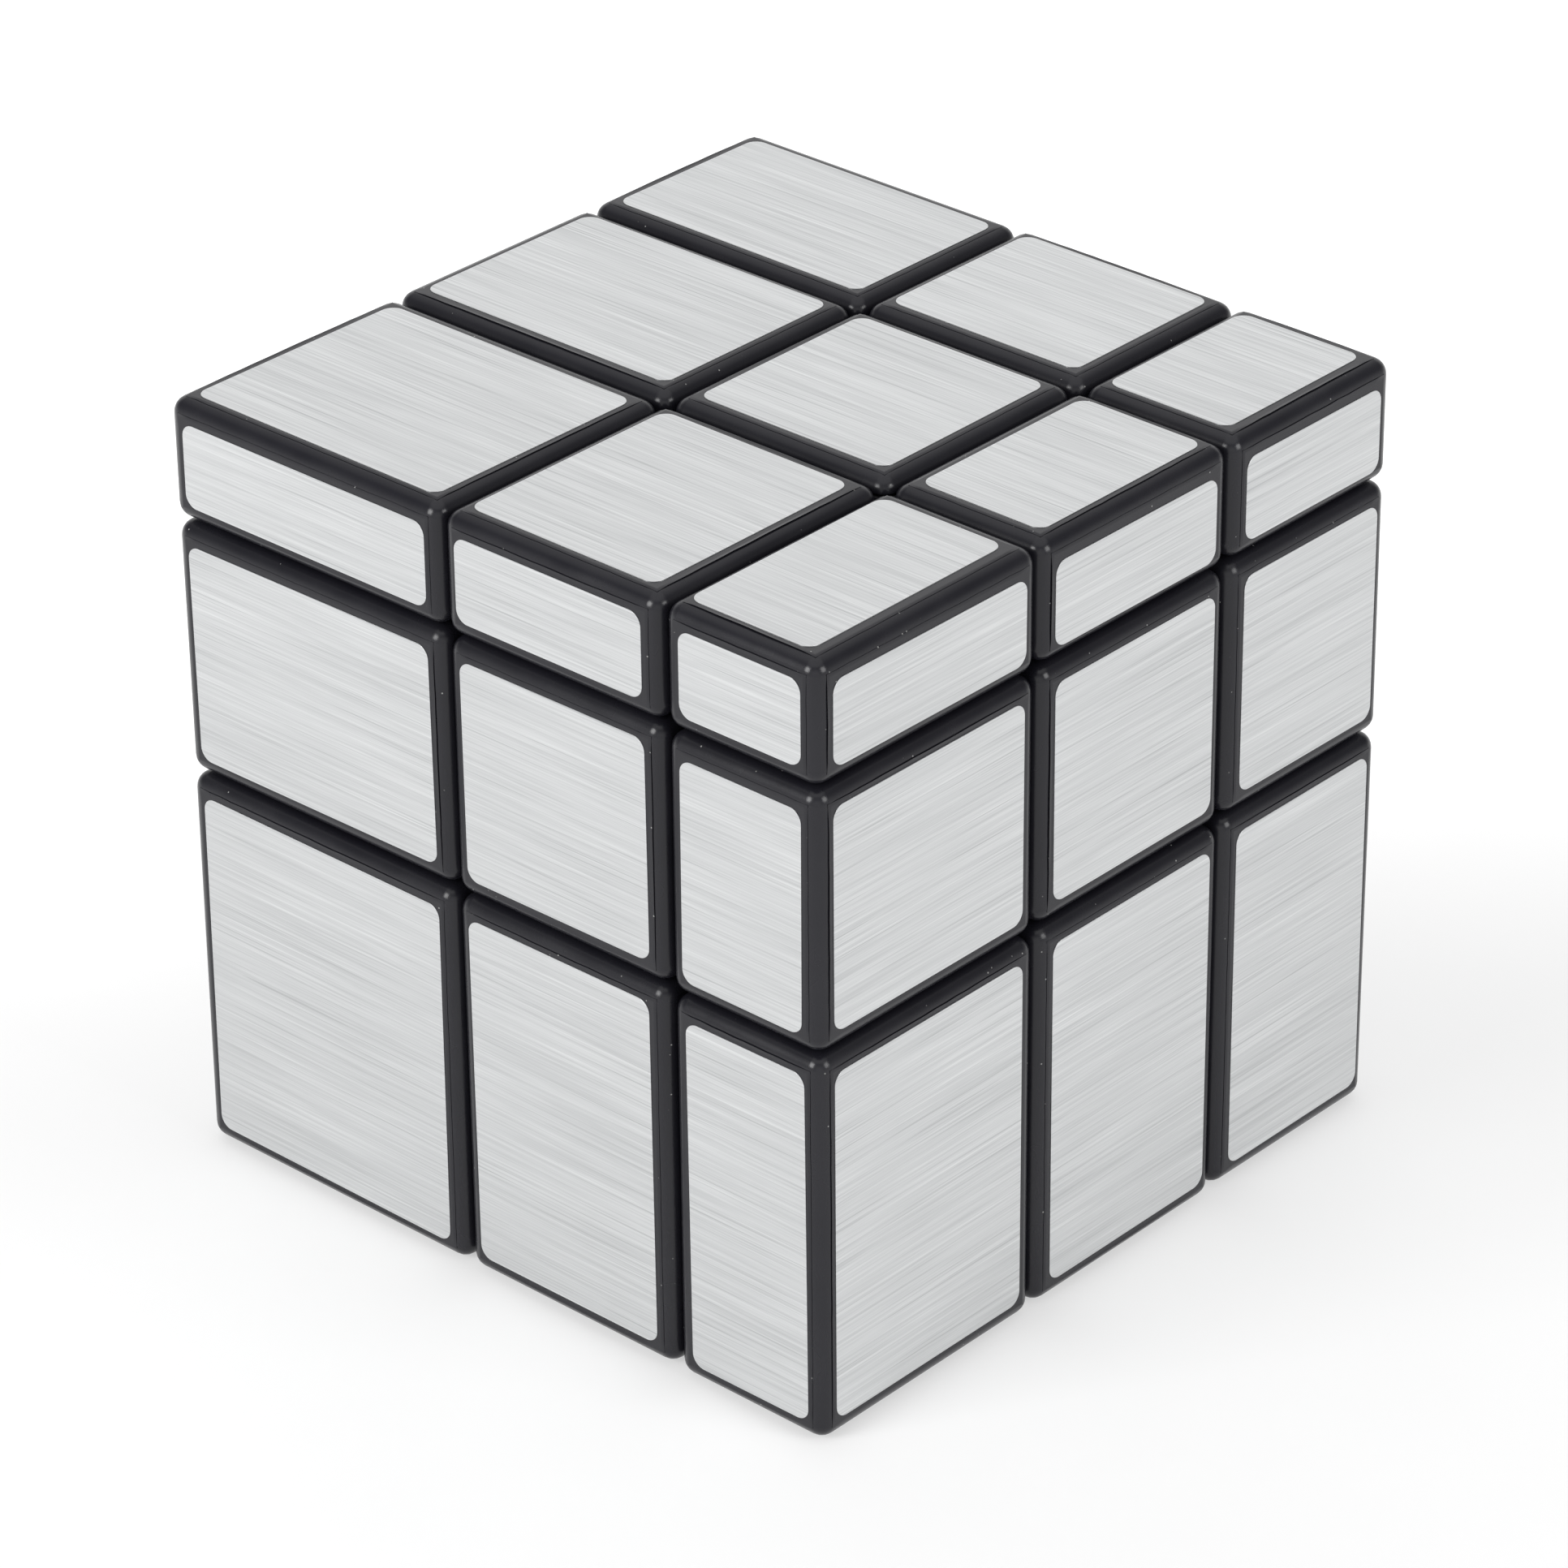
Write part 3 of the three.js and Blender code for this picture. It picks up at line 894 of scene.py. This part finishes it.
def add_node(tree, kind, inputs, **settings):
    """A node with its inputs set to values, or linked where the value is another node's output."""
    node = tree.nodes.new(kind)
    for key, value in settings.items():
        setattr(node, key, value)
    for key, value in inputs.items():
        if isinstance(value, bpy.types.NodeSocket):
            tree.links.new(value, node.inputs[key])
        else:
            node.inputs[key].default_value = value
    return node


def set_sockets(shader, **values):
    for key, value in values.items():
        shader.inputs[key.replace("_", " ")].default_value = value


def object_place(tree):
    """The place on the object, in metres."""
    return add_node(tree, "ShaderNodeTexCoord", {}).outputs["Object"]


def noise(tree, coordinates, waves, detail=2.0, roughness=0.5):
    """A noise pattern, with this many waves for each unit of length."""
    scaled = add_node(
        tree,
        "ShaderNodeVectorMath",
        {0: coordinates, 1: waves},
        operation="MULTIPLY",
    )
    pattern = add_node(
        tree,
        "ShaderNodeTexNoise",
        {"Vector": scaled.outputs[0], "Scale": 1.0, "Detail": detail, "Roughness": roughness},
    )
    return pattern.outputs[0]


def remap(tree, value, span, new_span, manner="LINEAR"):
    """Carries a value from one span to another, and holds it at the new span's ends."""
    inputs = {
        "Value": value,
        "From Min": span[0],
        "From Max": span[1],
        "To Min": new_span[0],
        "To Max": new_span[1],
    }
    return add_node(tree, "ShaderNodeMapRange", inputs, interpolation_type=manner).outputs[0]


def larger(tree, first, second):
    return add_node(
        tree,
        "ShaderNodeMath",
        {0: first, 1: second},
        operation="MAXIMUM",
    ).outputs[0]


def along_direction(tree, place, direction):
    """How far a place lies along a direction."""
    return add_node(
        tree,
        "ShaderNodeVectorMath",
        {0: place, 1: direction},
        operation="DOT_PRODUCT",
    ).outputs["Value"]


def weighted_sum(tree, parts):
    """The sum of (value, weight) parts."""
    total = 0.0
    for value, weight in parts:
        total = add_node(
            tree,
            "ShaderNodeMath",
            {0: value, 1: weight, 2: total},
            operation="MULTIPLY_ADD",
        ).outputs[0]
    return total


def blend_colours(tree, factor, dark, light):
    mix = add_node(tree, "ShaderNodeMix", {0: factor}, data_type="RGBA")
    colour_inputs = [socket for socket in mix.inputs if socket.type == "RGBA"]
    for socket, value in zip(colour_inputs, (dark, light)):
        if isinstance(value, bpy.types.NodeSocket):
            tree.links.new(value, socket)
        else:
            socket.default_value = (*value, 1)
    return next(socket for socket in mix.outputs if socket.type == "RGBA")


def dress(tree, shader, colour, pattern, roughness, height, relief):
    """Links a shader's colour, a roughness that follows a pattern, and a fine relief."""
    strength, depth = relief
    surface = add_node(
        tree,
        "ShaderNodeBump",
        {"Height": height, "Strength": strength, "Distance": depth},
    ).outputs[0]
    tree.links.new(colour, shader.inputs["Base Color"])
    tree.links.new(remap(tree, pattern, NOISE_SPAN, roughness), shader.inputs["Roughness"])
    tree.links.new(surface, shader.inputs["Normal"])


def silver_foil_material():
    """Brushed foil: long soft bands, streaks, lines and scratches, all along the brushing. In the
    colour they are partly painted sheen and glints, standing in for light off the grooves.
    """
    material, tree, shader = new_material("silver_foil")
    brushing = add_node(tree, "ShaderNodeUVMap", {}, uv_map=BRUSH_MAP).outputs[0]
    bands = noise(tree, brushing, BAND_WAVES, 1.0)
    streaks = noise(tree, brushing, STREAK_WAVES, 2.0)
    lines = noise(tree, brushing, LINE_WAVES, 3.0, LINE_ROUGHNESS)
    scratches = noise(tree, brushing, SCRATCH_WAVES, 1.0)
    brushed_tone_and_sheen = weighted_sum(tree, (
        (bands, BAND_WEIGHT),
        (streaks, STREAK_WEIGHT),
        (lines, LINE_WEIGHT),
        (remap(tree, scratches, DARK_SCRATCHES, (0, 1)), DARK_SCRATCH_WEIGHT),
        (remap(tree, scratches, BRIGHT_SCRATCH_GLINTS, (0, 1)), BRIGHT_SCRATCH_GLINT_WEIGHT),
    ))
    # The colour follows the tone: partly the foil's brushed pattern, partly painted sheen and
    # glints.
    colour = blend_colours(tree, remap(tree, brushed_tone_and_sheen, NOISE_SPAN, (0, 1)), *FOIL_COLOURS)
    dress(tree, shader, colour, brushed_tone_and_sheen, FOIL_ROUGHNESS, brushed_tone_and_sheen, FOIL_RELIEF)
    tangent = add_node(tree, "ShaderNodeTangent", {}, direction_type="UV_MAP", uv_map=BRUSH_MAP)
    tree.links.new(tangent.outputs[0], shader.inputs["Tangent"])
    set_sockets(shader, Metallic=1.0, Anisotropic=FOIL_ANISOTROPY)
    return material


def black_plastic_material():
    """Moulded black plastic, with a fine surface, faint unevenness and a few specks of dust."""
    material, tree, shader = new_material("black_plastic")
    place = object_place(tree)
    grain = noise(tree, place, BLACK_GRAIN)
    cloud = noise(tree, place, BLACK_CLOUD, 3.0)
    cells = add_node(tree, "ShaderNodeTexVoronoi", {"Vector": place, "Scale": SPECK_CELLS})
    near_speck = remap(tree, cells.outputs["Distance"], SPECK_EDGE, (0, 1))
    chance = add_node(tree, "ShaderNodeSeparateColor", {0: cells.outputs["Color"]}).outputs[0]
    speck = add_node(
        tree,
        "ShaderNodeMath",
        {0: near_speck, 1: remap(tree, chance, SPECK_CHOICE, (0, 1))},
        operation="MULTIPLY",
    ).outputs[0]
    plastic = blend_colours(tree, cloud, *BLACK_COLOURS)
    colour = blend_colours(tree, speck, plastic, SPECK_COLOUR)
    dress(tree, shader, colour, cloud, BLACK_ROUGHNESS, grain, BLACK_RELIEF)
    set_sockets(shader, IOR=BLACK_IOR)
    return material


def core_plastic_material():
    """Natural, slightly waxy plastic."""
    material, tree, shader = new_material("core_plastic")
    place = object_place(tree)
    grain = noise(tree, place, CORE_GRAIN, 3.0)
    cloud = noise(tree, place, CORE_CLOUD)
    colour = blend_colours(tree, cloud, *CORE_COLOURS)
    dress(tree, shader, colour, cloud, CORE_ROUGHNESS, grain, CORE_RELIEF)
    set_sockets(shader, IOR=CORE_IOR)
    return material


def steel_material(name, colours, marks):
    """Steel with faint marks from its making."""
    material, tree, shader = new_material(name)
    pattern = noise(tree, object_place(tree), marks, 3.0)
    colour = blend_colours(tree, pattern, *colours)
    dress(tree, shader, colour, pattern, STEEL_ROUGHNESS, pattern, STEEL_RELIEF)
    set_sockets(shader, Metallic=1.0)
    return material


MATERIALS = {
    "silver_foil": silver_foil_material(),
    "black_plastic": black_plastic_material(),
    "core_plastic": core_plastic_material(),
    "screw_steel": steel_material("screw_steel", SCREW_COLOURS, SCREW_MARKS),
    "spring_steel": steel_material("spring_steel", SPRING_COLOURS, SPRING_MARKS),
}


# ---- Assembly ----


def finish_piece(piece, slot, body, nodes=(), smooth=True, looseness=Matrix.Identity(4)):
    """Shades a piece, moves it to its place and ties it to its CAD body and nodes."""
    weld(piece)
    if smooth:
        piece.data.shade_smooth()
        piece.data.set_sharp_from_angle(angle=SMOOTH_ANGLE)
        weighted = piece.modifiers.new("weighted", "WEIGHTED_NORMAL")
        weighted.keep_sharp = True
        with_modifiers_applied(piece)
    piece.data.transform(looseness)
    piece.data.materials.clear()
    piece.data.materials.append(MATERIALS[slot])
    piece.location = CORE
    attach(piece, body)
    if nodes:
        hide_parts(*nodes)


def turned_copy(template, name, towards):
    """A copy of a piece modelled along +Z, turned towards one face."""
    piece = new_object(name, template.data.copy())
    piece.data.transform(towards.to_track_quat("Z", "Y").to_matrix().to_4x4())
    return piece


def place_mechanism():
    finish_piece(build_core(), "core_plastic", "core", ["core"])
    templates = {
        "spring": (build_spring("spring_template"), "spring_steel"),
        "washer": (build_washer("washer_template"), "screw_steel"),
        "screw": (build_screw("screw_template"), "screw_steel"),
    }
    for layer, (towards, _) in FACES.items():
        for kind, (template, slot) in templates.items():
            piece = turned_copy(template, f"{kind}_{layer}_visual", towards)
            finish_piece(piece, slot, "core", [f"{kind}_{layer}"])
    for template, _ in templates.values():
        bpy.data.objects.remove(template)


def loosened(low, high, layers, draw):
    """A small random shift and tilt about a cubie's middle, always inwards of its outer sides."""
    middle = (low + high) / 2
    shift = Vector([draw.uniform(-LOOSE_SHIFT, LOOSE_SHIFT) for _ in range(3)])
    tilt = [math.radians(draw.uniform(-LOOSE_TILT, LOOSE_TILT)) for _ in range(3)]
    for layer in layers:
        shift -= FACES[layer][0] * LOOSE_SINK
    turn = Matrix.Rotation(tilt[0], 4, "X") @ Matrix.Rotation(tilt[1], 4, "Y")
    turn = turn @ Matrix.Rotation(tilt[2], 4, "Z")
    return Matrix.Translation(middle + shift) @ turn @ Matrix.Translation(-middle)


def place_cubie(body, draw):
    kind, *layers = body.split("_")
    name = "_".join(layers)
    if kind == "centre":
        cap = build_cap(f"cap_{name}_visual", layers[0])
        centre = build_centre(f"centre_{name}_visual", layers[0])
        pieces = [(cap, f"cap_{name}"), (centre, f"centre_{name}")]
        near = CAP_START
    elif kind == "edge":
        pieces = [(build_edge(f"edge_{name}_visual", layers), f"edge_{name}")]
        near = BLOCK_START
    else:
        shell = build_corner_shell(f"corner_shell_{name}_visual", layers)
        foot = build_corner_foot(f"corner_foot_{name}_visual", layers)
        pieces = [(shell, f"corner_shell_{name}"), (foot, f"corner_foot_{name}")]
        near = BLOCK_START
    low, high = block_bounds(layers, near)
    looseness = loosened(low, high, layers, draw)
    for piece, node in pieces:
        finish_piece(piece, "black_plastic", body, [node], looseness=looseness)
    for layer in layers:
        film, foil = build_sticker(body, layer, low, high, draw)
        finish_piece(film, "black_plastic", body, looseness=looseness)
        finish_piece(foil, "silver_foil", body, smooth=False, looseness=looseness)


place_mechanism()
placing = random.Random(PLACING_SEED)
for body_name in frame["bodies"]:
    if body_name != "core":
        place_cubie(body_name, placing)

for tool in (*IN_LAYER.values(), *BESIDE_LAYER.values(), HEART):
    bpy.data.objects.remove(tool)

# ---- Floor, light and camera ----


def build_floor():
    """A pale opal sheet, lit from below as well."""
    bm = bmesh.new()
    bmesh.ops.create_circle(bm, cap_ends=True, segments=FLOOR_SEGMENTS, radius=FLOOR_RADIUS)
    floor = from_bmesh("floor", bm)
    material, tree, shader = new_material("floor_opal")
    place = object_place(tree)
    colour = blend_colours(tree, noise(tree, place, FLOOR_CLOUD, 3.0), *FLOOR_GREYS)
    tree.links.new(colour, shader.inputs["Base Color"])
    behind = along_direction(tree, place, FLOOR_BEHIND)
    glows = (FLOOR_GLOW, FLOOR_GLOW_BEHIND)
    glow = remap(tree, behind, (0, FLOOR_RISE), glows, "SMOOTHSTEP")
    tree.links.new(glow, shader.inputs["Emission Strength"])
    set_sockets(shader, Roughness=FLOOR_ROUGHNESS, Emission_Color=(1, 1, 1, 1))
    floor.data.materials.append(material)


def add_softboxes():
    for name, (azimuth, elevation, power) in SOFTBOXES.items():
        data = bpy.data.lights.new(name, "AREA")
        data.shape = "SQUARE"
        data.size = SOFTBOX_SIZE
        data.energy = power
        light = bpy.data.objects.new(name, data)
        bpy.context.scene.collection.objects.link(light)
        aim_from(light, azimuth, elevation, SOFTBOX_DISTANCE)


def aim_from(thing, azimuth, elevation, distance):
    """Puts a light or camera at this distance from the aim point, facing it."""
    turn = math.radians(azimuth)
    rise = math.radians(elevation)
    away = Vector((
        math.cos(rise) * math.sin(turn),
        -math.cos(rise) * math.cos(turn),
        math.sin(rise),
    ))
    thing.location = CAMERA_AIM + away * distance
    thing.rotation_mode = "QUATERNION"
    thing.rotation_quaternion = away.to_track_quat("Z", "Y")


def add_world():
    """A dim room with a pale ceiling and two pale walls, in front of plain white."""
    world = bpy.data.worlds.new("studio")
    world.use_nodes = True
    tree = world.node_tree
    direction = add_node(tree, "ShaderNodeTexCoord", {}).outputs["Generated"]
    along_view = along_direction(tree, direction, WALL_DIRECTION)
    height = add_node(tree, "ShaderNodeSeparateXYZ", {0: direction}).outputs["Z"]
    back_wall = remap(tree, along_view, BACK_WALL, (0, 1))
    front_wall = remap(tree, along_view, FRONT_WALL, (0, 1))
    ceiling = remap(tree, height, CEILING, (0, 1))
    skirting = remap(tree, height, SKIRTING, (0, SKIRTING_PALENESS))
    walls = larger(tree, back_wall, front_wall)
    pale = larger(tree, walls, larger(tree, skirting, ceiling))
    strength = remap(tree, pale, (0, 1), (ROOM_DIM, ROOM_PALE))
    seen = add_node(tree, "ShaderNodeLightPath", {}).outputs["Is Camera Ray"]
    shown = add_node(
        tree,
        "ShaderNodeMix",
        {0: seen, 2: strength, 3: 1.0},
        data_type="FLOAT",
    ).outputs[0]
    background = tree.nodes["Background"]
    background.inputs["Color"].default_value = (1, 1, 1, 1)
    tree.links.new(shown, background.inputs["Strength"])
    bpy.context.scene.world = world


def add_camera():
    data = bpy.data.cameras.new("camera")
    data.sensor_width = CAMERA_SENSOR
    data.lens = CAMERA_LENS
    data.clip_start = CAMERA_NEAREST
    camera = bpy.data.objects.new("camera", data)
    bpy.context.scene.collection.objects.link(camera)
    aim_from(camera, CAMERA_AZIMUTH, CAMERA_ELEVATION, CAMERA_DISTANCE)
    roll = Matrix.Rotation(math.radians(CAMERA_ROLL), 3, "Z").to_quaternion()
    camera.rotation_quaternion = camera.rotation_quaternion @ roll
    bpy.context.scene.camera = camera


build_floor()
add_world()
add_softboxes()
add_camera()
bpy.context.scene.view_settings.view_transform = "Standard"
